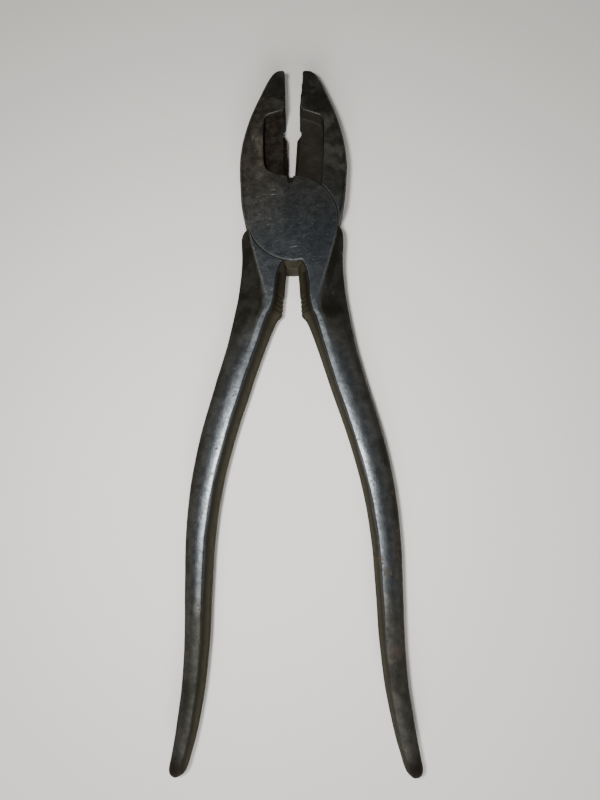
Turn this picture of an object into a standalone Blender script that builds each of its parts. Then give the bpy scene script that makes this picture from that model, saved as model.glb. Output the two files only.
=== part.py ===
"""Lineman's side-cutting pliers: two lap-jointed steel halves on one flush rivet.

Frame: the pliers lie flat with their back face on z = 0. +Z is the rivet's axis, +Y runs to the
jaws and +X is to the right. Each half is modelled closed, in its own frame, with its jaw at -X,
its handle at +X and its lap disc on top. The back half is such a half turned over about Y.
Lengths in this file are millimetres, and MM turns them into metres when a mesh is made.
"""
import math

import bmesh
import bpy

MM = 0.001

# Joint
JOINT_THICKNESS = 11.5
MID = JOINT_THICKNESS / 2
LAP_GAP = 0.3
DISC_RADIUS = 11.35
SOCKET_RADIUS = DISC_RADIUS + 0.3
TURNED_SEGMENTS = 96
REST_OPENING_DEG = 6.4

# Rivet
RIVET_SHANK_RADIUS = 3.6
RIVET_HEAD_RADIUS = 5.4
RIVET_HEAD_DEPTH = 2.4
RIVET_GAP = 0.3

# Jaw
JAW_TIP_Y = 42.6
JAW_FACE_GAP = 0.06
CLOSING_LINE_X = -0.97
CLOSING_LINE_SLOPE = 0.0187
JAW_EDGE_BEVEL = 1.4
JAW_BEVEL_MIDDLE = 0.3
NOSE_TAPER_START_Y = 29.0
NOSE_TIP_HALF_THICKNESS = 4.3
TOOTH_PITCH = 1.15
TOOTH_DEPTH = 0.4
NOSE_TEETH_START_Y = 31.3
NOSE_TEETH = 9
GRIP_START_Y = 25.2
GRIP_TEETH = 5
GRIP_DEPTH = 1.0
GRIP_SLOPE = 0.6
GRIP_TOOTH_DEPTH = 0.3

# Cutter web
KNIFE_END_Y = 11.0
KNIFE_END_WEAR = 0.25
WEB_HALF_THICKNESS = 1.65
KNIFE_BEVEL_WIDTH = 1.0
KNIFE_EDGE_HALF_LAND = 0.08
KNIFE_BEVEL_RUN_OUT = 1.0

# Handle
HANDLE_END_Y = -133.2
HANDLE_BEND_Y = -42.0
INNER_LAND_HALF_HEIGHT = 0.7
DOME_STEPS = (0.3, 0.55, 0.77, 0.93, 1.0)
SHOULDER_CREASE = 0.85
CREASE_END_Y = -42.0
RIDGE_SHIFT_START_Y = -18.0
RIDGE_SHIFT_END_Y = -40.0
END_DRIFT = 0.2
END_STEPS = (0.45, 0.75, 0.93, 1.0)
END_BLUNTNESS = 0.5
END_SQUARENESS = 2.7
CRIMP_TEETH = 4
CRIMP_START_Y = -19.4
CRIMP_TOOTH_DEPTH = 0.25

# Surface
SHARP_EDGE_DEG = 35.0
STEEL_COLOUR = (0.085, 0.09, 0.098, 1.0)
STEEL_ROUGHNESS = 0.42
RIVET_COLOUR = (0.10, 0.10, 0.105, 1.0)
RIVET_ROUGHNESS = 0.38
METALLIC = 0.9

# Outer edge of a jaw: (y, distance from the closing line), from the tip to above the heel
JAW_OUTLINE = [
    (42.6, 2.75),
    (42.2, 3.40),
    (41.0, 4.25),
    (39.0, 5.35),
    (36.0, 6.75),
    (32.5, 8.35),
    (29.0, 9.75),
    (25.0, 11.15),
    (21.0, 12.25),
    (17.0, 12.90),
    (13.0, 13.08),
    (7.0, 13.03),
]

# Handle: y, inner parting line, inner edge of the face and its half height, crest and its half
# height, outer parting line, its half height, roundness of the back
HANDLE_STATIONS = [
    (-7.5, 0.90, 1.60, 5.75, 9.75, 5.75, 12.58, 3.10, 1.5),
    (-10.5, 0.90, 1.60, 5.75, 8.75, 5.75, 12.30, 2.60, 1.5),
    (-13.5, 0.85, 2.80, 5.75, 7.75, 5.75, 12.20, 2.30, 1.5),
    (-17.0, 0.95, 3.30, 5.75, 6.50, 5.75, 12.33, 1.90, 1.5),
    (-21.0, 1.00, 3.40, 5.75, 5.20, 5.75, 12.63, 1.50, 1.6),
    (-24.2, 1.15, 3.95, 5.62, 5.30, 5.72, 13.03, 1.30, 1.7),
    (-25.6, 2.20, 4.60, 5.52, 5.90, 5.66, 13.23, 1.20, 1.8),
    (-28.5, 3.35, 5.35, 5.35, 6.80, 5.50, 13.63, 1.10, 1.9),
    (-34.0, 5.00, 6.70, 5.08, 8.15, 5.22, 14.48, 1.00, 2.0),
    (-44.0, 7.65, 9.30, 4.97, 10.65, 5.10, 16.63, 0.95, 2.0),
    (-56.0, 10.75, 12.35, 4.84, 13.55, 4.95, 19.23, 0.95, 2.0),
    (-68.0, 13.10, 14.70, 4.65, 15.75, 4.75, 20.83, 0.90, 2.0),
    (-80.0, 14.20, 15.80, 4.41, 16.75, 4.50, 21.18, 0.90, 2.0),
    (-92.0, 14.25, 15.70, 4.21, 16.60, 4.30, 20.58, 0.85, 2.0),
    (-104.0, 14.05, 15.40, 3.98, 16.25, 4.06, 19.83, 0.85, 2.0),
    (-114.0, 14.45, 15.70, 3.69, 16.50, 3.77, 19.73, 0.80, 2.0),
    (-124.0, 15.65, 16.75, 3.35, 17.55, 3.43, 20.48, 0.70, 2.0),
    (-129.6, 16.85, 17.85, 2.95, 18.60, 3.03, 21.08, 0.60, 2.0),
]

# The horn's highest point: y, outer edge of the face, half height of its outer side
HORN_TOP = (-2.35, 11.25, 4.50)

# The two halves are ground slightly differently at the heel and the horn, and their handles
# are bent slightly differently: (y, outer distance) down the heel, and down from the horn.
FRONT_HALF = {
    "heel": [(3.6, 12.85), (1.0, 12.42), (-0.2, 12.05), (-0.9, 11.70), (-1.5, 11.15)],
    "horn": [(-2.35, 11.55), (-2.8, 12.05), (-3.8, 12.50), (-5.5, 12.65)],
    "handle_bend_deg": 1.3,
    "ridge_shift": -0.30,
    "closing_side": 1,
}
BACK_HALF = {
    "heel": [(4.2, 12.78), (2.6, 12.38), (1.0, 11.92), (0.0, 11.55), (-0.7, 11.10)],
    "horn": [(-3.7, 11.65), (-4.1, 12.10), (-5.0, 12.55), (-6.0, 12.68)],
    "handle_bend_deg": -1.3,
    "ridge_shift": 0.40,
    "closing_side": -1,
}

# Relief pocket beside the cutting edge, as (x, y) on the face of the jaw
POCKET_TOP = [(2.0, 30.75), (-0.9, 30.25), (-4.9, 29.05), (-6.0, 28.30), (-6.35, 27.0)]
POCKET_SIDE = [(-6.70, 22.0), (-6.75, 15.6)]
POCKET_CLOSED_END = [(-6.35, 13.9), (-5.3, 12.75), (-0.9, 11.4), (2.0, 11.5)]
POCKET_OPEN_Y = 8.0
POCKET_OPEN_END = [(-6.75, POCKET_OPEN_Y), (2.0, POCKET_OPEN_Y)]
CLOSED_BEVEL_END_Y = 11.7

# Small vee cut into the face at the crotch of the jaws
STOP_NICK = [(-1.0, 11.6), (-0.6, 9.6), (0.3, 9.6), (0.7, 11.6)]
STOP_NICK_DEPTH = 0.9


def clear_scene():
    for item in list(bpy.data.objects):
        bpy.data.objects.remove(item, do_unlink=True)


def steel(name, colour, roughness):
    """Dark, worn bare steel."""
    material = bpy.data.materials.new(name)
    material.use_nodes = True
    shader = material.node_tree.nodes["Principled BSDF"]
    shader.inputs["Base Color"].default_value = colour
    shader.inputs["Metallic"].default_value = METALLIC
    shader.inputs["Roughness"].default_value = roughness
    material.diffuse_color = colour
    return material


def mesh_object(name, points, faces):
    """A mesh object from points in millimetres, with its faces turned outwards."""
    mesh = bpy.data.meshes.new(name)
    bm = bmesh.new()
    verts = [bm.verts.new([c * MM for c in point]) for point in points]
    for face in faces:
        bm.faces.new([verts[i] for i in face])
    bmesh.ops.recalc_face_normals(bm, faces=bm.faces)
    bm.to_mesh(mesh)
    bm.free()
    item = bpy.data.objects.new(name, mesh)
    bpy.context.collection.objects.link(item)
    return item


def loft(name, rings):
    """A closed solid through rings of equal length, capped at both ends."""
    count = len(rings[0])
    points = [point for ring in rings for point in ring]
    faces = []
    for start in range(0, (len(rings) - 1) * count, count):
        for i in range(count):
            j = (i + 1) % count
            faces.append((start + i, start + j, start + count + j, start + count + i))
    last = len(points) - count
    faces.append(tuple(range(count)))
    faces.append(tuple(range(last, last + count)))
    return mesh_object(name, points, faces)


def prism(name, outline, low, high):
    """An (x, y) outline raised from z = low to z = high."""
    return loft(name, [[(x, y, z) for x, y in outline] for z in (low, high)])


def turned(name, profile):
    """A solid of revolution about the rivet's axis, from (radius, z) pairs."""
    angles = [2 * math.pi * i / TURNED_SEGMENTS for i in range(TURNED_SEGMENTS)]
    rings = [[(r * math.cos(a), r * math.sin(a), z) for a in angles] for r, z in profile]
    return loft(name, rings)


def combine(target, tool, operation):
    """Add a Boolean to the target. The tool stays as a hidden guide that moves with it."""
    modifier = target.modifiers.new(tool.name, "BOOLEAN")
    modifier.operation = operation
    modifier.solver = "EXACT"
    modifier.object = tool
    tool.parent = target
    tool.hide_render = True
    tool.display_type = "WIRE"


def smooth_value(stations, column, y):
    """One column of a station table at y, on a Catmull-Rom curve through the stations."""
    last = len(stations) - 1
    k = 0
    while k < last - 1 and stations[k + 1][0] > y:
        k += 1
    before = stations[max(k - 1, 0)]
    start = stations[k]
    end = stations[k + 1]
    after = stations[min(k + 2, last)]
    span = end[0] - start[0]
    t = (y - start[0]) / span
    slope_in = (end[column] - before[column]) / (end[0] - before[0]) * span
    slope_out = (after[column] - start[column]) / (after[0] - start[0]) * span
    return (
        start[column] * (2 * t**3 - 3 * t**2 + 1)
        + slope_in * (t**3 - 2 * t**2 + t)
        + end[column] * (3 * t**2 - 2 * t**3)
        + slope_out * (t**3 - t**2)
    )


def jaw_face_steps():
    """(y, depth behind the closing line) along the jaw's gripping face, from the tip down."""
    steps = [(JAW_TIP_Y, 0.35), (JAW_TIP_Y - 0.4, 0.0)]
    for i in range(NOSE_TEETH, 0, -1):
        crest = NOSE_TEETH_START_Y + i * TOOTH_PITCH
        steps.append((crest, 0.0))
        steps.append((crest - TOOTH_PITCH / 2, TOOTH_DEPTH))
    steps.append((NOSE_TEETH_START_Y, 0.0))
    for i in range(2 * GRIP_TEETH, 0, -1):
        y = GRIP_START_Y + i * TOOTH_PITCH / 2
        hollow = GRIP_DEPTH * (1 - GRIP_SLOPE * i / (2 * GRIP_TEETH))
        steps.append((y, hollow + GRIP_TOOTH_DEPTH * (i % 2)))
    steps.append((GRIP_START_Y + 0.2, GRIP_DEPTH))
    steps.append((GRIP_START_Y, 0.0))
    return steps


def face_x(y, closing_side):
    """x of a half's jaw face. The closing line passes beside the rivet's axis and leans a little."""
    return closing_side * (CLOSING_LINE_X + CLOSING_LINE_SLOPE * y) - JAW_FACE_GAP


def knife_wear(y):
    """How far the cutting edge is worn back, more towards the rivet."""
    return KNIFE_END_WEAR * min(1.0, (GRIP_START_Y - y) / (GRIP_START_Y - KNIFE_END_Y))


def jaw_ring(y, inner, outer):
    """One cross-section of the jaw. The nose thins towards its tip."""
    taper = max(0.0, (y - NOSE_TAPER_START_Y) / (JAW_TIP_Y - NOSE_TAPER_START_Y))
    half = MID - (MID - NOSE_TIP_HALF_THICKNESS) * taper
    bevel = JAW_EDGE_BEVEL
    middle = JAW_BEVEL_MIDDLE * bevel
    upper = [
        (inner, half),
        (-outer + bevel, half),
        (-outer + middle, half - middle),
        (-outer, half - bevel),
    ]
    section = upper + [(x, -h) for x, h in reversed(upper)]
    return [(x, y, MID + h) for x, h in section]


def make_jaw(name, shape):
    outline = JAW_OUTLINE + shape["heel"]
    steps = jaw_face_steps()
    below_grip = [y for y, _ in outline if y < GRIP_START_Y - 1.0]
    steps += [(y, knife_wear(y)) for y in below_grip]
    rings = []
    for y, depth in steps:
        inner = face_x(y, shape["closing_side"]) - depth
        rings.append(jaw_ring(y, inner, smooth_value(outline, 1, y)))
    return loft(name, rings)


def ridge_shift(y, shape):
    """How far the ridge of this half's handle lies from where the stations put it."""
    t = (RIDGE_SHIFT_START_Y - y) / (RIDGE_SHIFT_START_Y - RIDGE_SHIFT_END_Y)
    return shape["ridge_shift"] * min(max(t, 0.0), 1.0)


def handle_ring(y, values, shift, notch):
    """One cross-section of the handle: flat inside, domed outside, alike above and below."""
    inner, face, face_h, crest, crest_h, outer, outer_h, roundness = values
    face_h = min(face_h, MID)
    crest_h = min(crest_h, MID)
    crease = SHOULDER_CREASE * (y - CREASE_END_Y) / (HORN_TOP[0] - CREASE_END_Y)
    crease = min(max(crease, 0.0), SHOULDER_CREASE)
    upper = [(inner + notch, INNER_LAND_HALF_HEIGHT), (face, face_h)]
    upper += [((face + crest) / 2, face_h * 0.25 + crest_h * 0.75), (crest, crest_h)]
    for t in DOME_STEPS:
        dome = (1 - t**roundness) ** (1 / roundness)
        dome += (1 - t - dome) * crease
        upper.append((crest + (outer - crest) * t, outer_h + (crest_h - outer_h) * dome))
    section = upper + [(x, -h) for x, h in reversed(upper)]
    return [(x + shift, y, MID + h) for x, h in section]


def handle_steps():
    """(y, notch depth) along the handle, with the small crimping teeth behind the joint."""
    steps = [(y, 0.0) for y in (-7.5, -10.5, -13.5, -17.0)]
    for i in range(CRIMP_TEETH):
        crest = CRIMP_START_Y - i * TOOTH_PITCH
        steps.append((crest, 0.0))
        steps.append((crest - TOOTH_PITCH / 2, CRIMP_TOOTH_DEPTH))
    steps += [(y, 0.0) for y in (-24.2, -24.9, -25.6, -26.8, -28.5, -31.0)]
    steps += [(-34.0 - 5.5 * i, 0.0) for i in range(17)]
    steps.append((HANDLE_STATIONS[-1][0], 0.0))
    return steps


def make_handle(name, shape):
    first = HANDLE_STATIONS[0]
    bend = math.tan(math.radians(shape["handle_bend_deg"]))
    horn_y, horn_crest, horn_height = HORN_TOP
    rings = []
    for y, outer in shape["horn"]:
        t = (y - horn_y) / (first[0] - horn_y)
        crest = horn_crest + (first[4] - horn_crest) * t
        side = horn_height + (first[7] - horn_height) * t
        values = first[1:4] + (crest, MID, outer, side, first[8])
        rings.append(handle_ring(y, values, 0.0, 0.0))
    for y, notch in handle_steps():
        values = [smooth_value(HANDLE_STATIONS, c, y) for c in range(1, 9)]
        values[1] += ridge_shift(y, shape)
        values[3] += ridge_shift(y, shape)
        shift = max(0.0, HANDLE_BEND_Y - y) * bend
        rings.append(handle_ring(y, values, shift, notch))
    rings += rounded_end(rings[-1])
    return loft(name, rings)


def rounded_end(ring):
    """Rings that shrink about the ring's middle, down to the blunt end of the handle."""
    start_y = ring[0][1]
    reach = start_y - HANDLE_END_Y
    middle = (min(point[0] for point in ring) + max(point[0] for point in ring)) / 2
    rings = []
    for t in END_STEPS:
        keep = max(END_BLUNTNESS, (1 - t**END_SQUARENESS) ** (1 / END_SQUARENESS))
        y = start_y - reach * t
        drift = middle * (1 - keep) + END_DRIFT * reach * t
        rings.append([(x * keep + drift, y, MID + (z - MID) * keep) for x, _, z in ring])
    return rings


def hole_profile(gap):
    """(radius, z) of the rivet, or of its hole when there is a gap, from back to front."""
    cone = [(RIVET_HEAD_RADIUS + gap, 0.0), (RIVET_SHANK_RADIUS + gap, RIVET_HEAD_DEPTH)]
    return cone + [(r, JOINT_THICKNESS - z) for r, z in reversed(cone)]


def add_pockets(half, name, closing_side):
    """Thin the jaw beside its cutting edge from both faces, and nick the crotch."""
    floor = WEB_HALF_THICKNESS
    rim = POCKET_TOP + POCKET_SIDE
    closed = rim + POCKET_CLOSED_END
    opened = rim + POCKET_OPEN_END
    combine(half, prism(name + "_front_pocket", closed, MID + floor, 2 * JOINT_THICKNESS), "DIFFERENCE")
    combine(half, prism(name + "_back_pocket", opened, -JOINT_THICKNESS, MID - floor), "DIFFERENCE")
    nick_floor = JOINT_THICKNESS - STOP_NICK_DEPTH
    combine(half, prism(name + "_nick", STOP_NICK, nick_floor, 2 * JOINT_THICKNESS), "DIFFERENCE")
    for side, low_y in ((1, CLOSED_BEVEL_END_Y), (-1, POCKET_OPEN_Y)):
        combine(half, knife_bevel(name + "_bevel", closing_side, side, low_y), "DIFFERENCE")


def knife_bevel(name, closing_side, side, low_y):
    """The wedge ground off one side (1 is the front) of the web to leave the cutting edge."""
    rise = (WEB_HALF_THICKNESS - KNIFE_EDGE_HALF_LAND) / KNIFE_BEVEL_WIDTH
    clear = 0.1
    rings = []
    for y in (low_y, GRIP_START_Y):
        edge_x = face_x(y, closing_side) - knife_wear(y)
        heel_x = edge_x - KNIFE_BEVEL_WIDTH - clear
        outer_x = edge_x + KNIFE_BEVEL_RUN_OUT
        wedge = [
            (heel_x, WEB_HALF_THICKNESS + clear * rise),
            (outer_x, KNIFE_EDGE_HALF_LAND - KNIFE_BEVEL_RUN_OUT * rise),
            (outer_x, MID + 1.0),
            (heel_x, MID + 1.0),
        ]
        rings.append([(x, y, MID + side * h) for x, h in wedge])
    return loft(name, rings)


def make_half(name, shape, material):
    """One forging: full-thickness jaw and handle, and the upper half of the lap joint."""
    half = make_jaw(name, shape)
    lap = MID + LAP_GAP / 2
    combine(half, make_handle(name + "_handle", shape), "UNION")
    combine(half, turned(name + "_socket", [(SOCKET_RADIUS, -MID), (SOCKET_RADIUS, lap)]), "DIFFERENCE")
    combine(half, turned(name + "_disc", [(DISC_RADIUS, lap), (DISC_RADIUS, JOINT_THICKNESS)]), "UNION")
    add_pockets(half, name, shape["closing_side"])
    combine(half, turned(name + "_rivet_hole", hole_profile(RIVET_GAP)), "DIFFERENCE")
    finish(half, material)
    return half


def finish(item, material):
    item.data.materials.append(material)
    item.data.shade_smooth()
    item.data.set_sharp_from_angle(angle=math.radians(SHARP_EDGE_DEG))


def main():
    clear_scene()
    forged = steel("forged_steel", STEEL_COLOUR, STEEL_ROUGHNESS)
    riveted = steel("rivet_steel", RIVET_COLOUR, RIVET_ROUGHNESS)
    swing = math.radians(REST_OPENING_DEG / 2)

    front = make_half("front_half", FRONT_HALF, forged)
    front.rotation_euler = (0.0, 0.0, swing)

    back = make_half("back_half", BACK_HALF, forged)
    back.location = (0.0, 0.0, JOINT_THICKNESS * MM)
    back.rotation_euler = (0.0, math.pi, -swing)

    rivet = turned("pivot_rivet", hole_profile(0.0))
    finish(rivet, riveted)


main()
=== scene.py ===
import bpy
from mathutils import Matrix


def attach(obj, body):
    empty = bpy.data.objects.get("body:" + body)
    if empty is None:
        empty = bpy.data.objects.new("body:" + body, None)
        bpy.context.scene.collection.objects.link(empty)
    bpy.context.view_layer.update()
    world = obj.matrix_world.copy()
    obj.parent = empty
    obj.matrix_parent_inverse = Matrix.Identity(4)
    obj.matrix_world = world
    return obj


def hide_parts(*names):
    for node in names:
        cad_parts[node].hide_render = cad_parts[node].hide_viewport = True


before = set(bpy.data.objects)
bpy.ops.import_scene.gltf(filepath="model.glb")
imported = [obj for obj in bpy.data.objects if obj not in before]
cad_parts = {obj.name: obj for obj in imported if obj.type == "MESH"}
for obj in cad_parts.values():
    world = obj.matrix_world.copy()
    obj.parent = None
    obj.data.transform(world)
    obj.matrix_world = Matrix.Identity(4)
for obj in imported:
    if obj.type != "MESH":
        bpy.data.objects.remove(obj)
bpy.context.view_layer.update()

# The looks of the lineman's pliers. Each forged half and the rivet is built again here as a finer
# mesh with worn edges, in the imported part's own frame, and stands for its CAD node.
# Shapes are in millimetres until place_front() and place_back() turn them into metres.
# Each half is modelled closed, with its jaw at -X, its handle at +X and its lap disc on top. The
# front half is swung open from there, and the back half is turned over about Y as well.
import math

import bpy
import numpy as np
from mathutils import Matrix, Vector

MM = 0.001

# Joint
JOINT_THICKNESS = 11.5
MID = JOINT_THICKNESS / 2
LAP_GAP = 0.12
DISC_RADIUS = 11.42
SOCKET_RADIUS = 11.58
REST_OPENING_DEG = 6.4

# Rivet
RIVET_SHANK_RADIUS = 3.6
RIVET_HEAD_RADIUS = 5.5
RIVET_HEAD_DEPTH = 2.4
RIVET_GAP = 0.02

# Jaw
JAW_TIP_Y = 42.6
JAW_FACE_GAP = 0.06
CLOSING_LINE_X = -0.97
CLOSING_LINE_SLOPE = 0.0187
JAW_CORNER_RADIUS = 1.4
TIP_CHAMFER_HEIGHT = 0.4
TIP_CHAMFER_DEPTH = 0.35
NOSE_TAPER_START_Y = 29.0
NOSE_TIP_HALF_THICKNESS = 4.3
TOOTH_PITCH = 1.15
TOOTH_DEPTH = 0.45
TOOTH_FLANK = 0.55
TOOTH_WEAR = 0.06
TOOTH_WEARS = 3
NOSE_TEETH_START_Y = 31.3
NOSE_TEETH = 9
GRIP_START_Y = 25.2
GRIP_FLOOR_Y = GRIP_START_Y + 0.2
GRIP_HEEL_Y = GRIP_START_Y - 0.7
GRIP_TEETH = 5
GRIP_DEPTH = 1.0
GRIP_SLOPE = 0.6
GRIP_TOOTH_DEPTH = 0.35

# Cutter web
KNIFE_END_Y = 11.0
KNIFE_END_WEAR = 0.25
WEB_HALF_THICKNESS = 1.65
KNIFE_BEVEL_WIDTH = 1.0
KNIFE_BEVEL_OVERLAP = 0.1
KNIFE_EDGE_HALF_LAND = 0.28

# Handle
HANDLE_END_Y = -133.2
HANDLE_BEND_Y = -42.0
INNER_LAND_HALF_HEIGHT = 0.7
END_DRIFT = 0.2
END_BLUNTNESS = 0.45
END_SQUARENESS = 2.7
SHOULDER_CREASE = 0.85
CREASE_END_Y = -42.0
RIDGE_SHIFT_START_Y = -18.0
RIDGE_SHIFT_END_Y = -40.0
CRIMP_TEETH = 4
CRIMP_START_Y = -19.4
CRIMP_TOOTH_DEPTH = 0.3

# Outer edge of a jaw: (y, distance across from the rivet's axis), from the tip to above the heel
JAW_OUTLINE = [
    (42.6, 2.75),
    (42.2, 3.40),
    (41.0, 4.25),
    (39.0, 5.35),
    (36.0, 6.75),
    (32.5, 8.35),
    (29.0, 9.75),
    (25.0, 11.15),
    (21.0, 12.25),
    (17.0, 12.90),
    (13.0, 13.08),
    (7.0, 13.03),
]

# Handle: y, inner parting line, inner edge of the face and its half height, crest and its half
# height, outer parting line, its half height, roundness of the back
HANDLE_STATIONS = [
    (-7.5, 0.90, 1.60, 5.75, 9.75, 5.75, 12.58, 3.10, 1.5),
    (-10.5, 0.90, 1.60, 5.75, 8.75, 5.75, 12.30, 2.60, 1.5),
    (-13.5, 0.85, 2.80, 5.75, 7.75, 5.75, 12.20, 2.30, 1.5),
    (-17.0, 0.95, 3.30, 5.75, 6.50, 5.75, 12.33, 1.90, 1.5),
    (-21.0, 1.00, 3.40, 5.75, 5.20, 5.75, 12.63, 1.50, 1.6),
    (-24.2, 1.15, 3.95, 5.62, 5.30, 5.72, 13.03, 1.30, 1.7),
    (-25.6, 2.20, 4.60, 5.52, 5.90, 5.66, 13.23, 1.20, 1.8),
    (-28.5, 3.35, 5.35, 5.35, 6.80, 5.50, 13.63, 1.10, 1.9),
    (-34.0, 5.00, 6.70, 5.08, 8.15, 5.22, 14.48, 1.00, 2.0),
    (-44.0, 7.65, 9.30, 4.97, 10.65, 5.10, 16.63, 0.95, 2.0),
    (-56.0, 10.75, 12.35, 4.84, 13.55, 4.95, 19.23, 0.95, 2.0),
    (-68.0, 13.10, 14.70, 4.65, 15.75, 4.75, 20.83, 0.90, 2.0),
    (-80.0, 14.20, 15.80, 4.41, 16.75, 4.50, 21.18, 0.90, 2.0),
    (-92.0, 14.25, 15.70, 4.21, 16.60, 4.30, 20.58, 0.85, 2.0),
    (-104.0, 14.05, 15.40, 3.98, 16.25, 4.06, 19.83, 0.85, 2.0),
    (-114.0, 14.45, 15.70, 3.69, 16.50, 3.77, 19.73, 0.80, 2.0),
    (-124.0, 15.65, 16.75, 3.35, 17.55, 3.43, 20.48, 0.70, 2.0),
    (-129.6, 16.85, 17.85, 2.95, 18.60, 3.03, 21.08, 0.60, 2.0),
]

# The horn's highest point: y, outer edge of the face, half height of its outer side
HORN_TOP = (-2.35, 11.25, 4.50)

# The halves differ a little. "heel" and "horn" hold (y, outer distance), downwards. The rest of the
# shape is the handle's bend, how far its ridge is shifted, and which way round (1 or -1) this half
# sees the closing line. The looks are, from 0 to 1, how pale the jaw is, how strong the grime and
# painted shade of the hollows and steep sides are, how light the handle's inner wall is, how dark
# the shoulder is and how much the ridge is rubbed and painted with sheen, then between which y the
# rubbing and its painted sheen fade out, and how far they reach from the ridge.
FRONT_HALF = {
    "heel": [(3.6, 12.85), (1.0, 12.42), (-0.2, 12.05), (-0.9, 11.70), (-1.5, 11.15)],
    "horn": [(-2.35, 11.55), (-2.8, 12.05), (-3.8, 12.50), (-5.5, 12.65)],
    "handle_bend_deg": 1.3,
    "ridge_shift": -0.30,
    "closing_side": 1,
    "pale": 1.0,
    "grime_and_shade": 1.0,
    "wall": 0.85,
    "shade": 1.0,
    "rub_and_sheen": 0.85,
    "rub_and_sheen_fade_y": (-84.0, -62.0),
    "rub_and_sheen_reach": 3.6,
}
BACK_HALF = {
    "heel": [(4.2, 12.78), (2.6, 12.38), (1.0, 11.92), (0.0, 11.55), (-0.7, 11.10)],
    "horn": [(-3.7, 11.65), (-4.1, 12.10), (-5.0, 12.55), (-6.0, 12.68)],
    "handle_bend_deg": -1.3,
    "ridge_shift": 0.40,
    "closing_side": -1,
    "pale": 0.0,
    "grime_and_shade": 0.9,
    "wall": 0.9,
    "shade": 0.0,
    "rub_and_sheen": 1.0,
    "rub_and_sheen_fade_y": (-98.0, -68.0),
    "rub_and_sheen_reach": 2.2,
}

# Relief pocket beside the cutting edge, as (x, y) on the face of the jaw. It is closed above the
# lap disc and open on the other face. A nick marks the disc's edge under the gap.
POCKET_TOP = [(2.0, 30.75), (-0.9, 30.25), (-4.9, 29.05), (-6.0, 28.30), (-6.35, 27.0)]
POCKET_SIDE = [(-6.70, 22.0), (-6.75, 15.6)]
POCKET_CLOSED_END = [(-6.35, 13.9), (-5.3, 12.75), (-0.9, 11.4)]
POCKET_LAST = [(2.0, 11.5)]
POCKET_OPEN_Y = 8.0
POCKET_OPEN_END = [(-6.75, POCKET_OPEN_Y), (2.0, POCKET_OPEN_Y)]
POCKET_CORNER_CUT = 0.2
POCKET_CORNER_PASSES = 2
CLOSED_BEVEL_END_Y = 11.7
STOP_NICK = [(-1.0, 11.6), (-0.6, 9.6), (0.3, 9.6), (0.7, 11.6)]
STOP_NICK_DEPTH = 0.9

# Edges rubbed bright and painted with glints, on either face: (x, y) of both ends and how far the
# brightness reaches
BRIGHT_EDGES = [
    ((-1.2, 30.3), (-5.2, 29.0), 0.8),
    ((-1.0, -11.3), (1.6, -11.3), 0.8),
    ((1.6, -11.3), (2.9, -13.7), 0.5),
    ((3.3, -18.5), (4.7, -25.8), 0.6),
    ((10.6, -5.5), (5.2, -23.0), 0.6),
]

# Unevenness of the surface: how wide its lumps are, and how high
DENTS = [(7.0, 0.10), (1.6, 0.04)]

# How far a cutting shape runs on past what it cuts
OVERRUN = 1.0

# Mesh fineness: spacings of cross-sections, then steps round them
STATION_STEP = 0.4
TOOTH_STEP = 0.1
JAW_FACE_STEPS = 6
CORNER_STEPS = 8
LAND_STEPS = 3
WALL_STEPS = 10
SHOULDER_STEPS = 12
BACK_STEPS = 24
END_STEPS = 12
TURNED_SEGMENTS = 240

# Rings on a rivet head, and the radius of the innermost as a share of their spacing
HEAD_RINGS = 30
HEAD_CENTRE = 0.05

# Worn surface: remeshing in millimetres, then smoothing and thinning out
VOXEL = 0.16
EDGE_SOFTENING = 3
PROUD_PASSES = 8
MOST_TRIANGLES = 185_000
SHARP_EDGE_DEG = 45.0


def line(start, end, count):
    """count points from start towards end, without end itself."""
    return [tuple(a + (b - a) * i / count for a, b in zip(start, end)) for i in range(count)]


def smooth_value(stations, column, y):
    """One column of a station table at y, on a Catmull-Rom curve through the stations."""
    last = len(stations) - 1
    k = 0
    while k < last - 1 and stations[k + 1][0] > y:
        k += 1
    before = stations[max(k - 1, 0)]
    start = stations[k]
    end = stations[k + 1]
    after = stations[min(k + 2, last)]
    span = end[0] - start[0]
    t = (y - start[0]) / span
    slope_in = (end[column] - before[column]) / (end[0] - before[0]) * span
    slope_out = (after[column] - start[column]) / (after[0] - start[0]) * span
    return (
        start[column] * (2 * t**3 - 3 * t**2 + 1)
        + slope_in * (t**3 - 2 * t**2 + t)
        + end[column] * (3 * t**2 - 2 * t**3)
        + slope_out * (t**3 - t**2)
    )


def softened(outline):
    """An open outline with its corners cut, as a milling cutter leaves them."""
    far = POCKET_CORNER_CUT
    near = 1.0 - POCKET_CORNER_CUT
    for _ in range(POCKET_CORNER_PASSES):
        cut = [outline[0]]
        for (ax, ay), (bx, by) in zip(outline, outline[1:]):
            cut.append((ax * near + bx * far, ay * near + by * far))
            cut.append((ax * far + bx * near, ay * far + by * near))
        outline = cut + [outline[-1]]
    return outline


def mesh_object(name, points, faces):
    mesh = bpy.data.meshes.new(name)
    mesh.from_pydata(points, [], faces)
    mesh.validate()
    item = bpy.data.objects.new(name, mesh)
    bpy.context.scene.collection.objects.link(item)
    return item


def loft(name, rings):
    """A closed solid through rings of equal length, capped at both ends, faces outwards."""
    count = len(rings[0])
    points = [point for ring in rings for point in ring]
    faces = []
    for start in range(0, (len(rings) - 1) * count, count):
        for i in range(count):
            j = (i + 1) % count
            faces.append((start + i, start + j, start + count + j, start + count + i))
    last = len(points) - count
    faces.append(tuple(reversed(range(count))))
    faces.append(tuple(range(last, last + count)))
    item = mesh_object(name, points, faces)
    if signed_volume(item.data) < 0:
        item.data.flip_normals()
    return item


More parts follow.
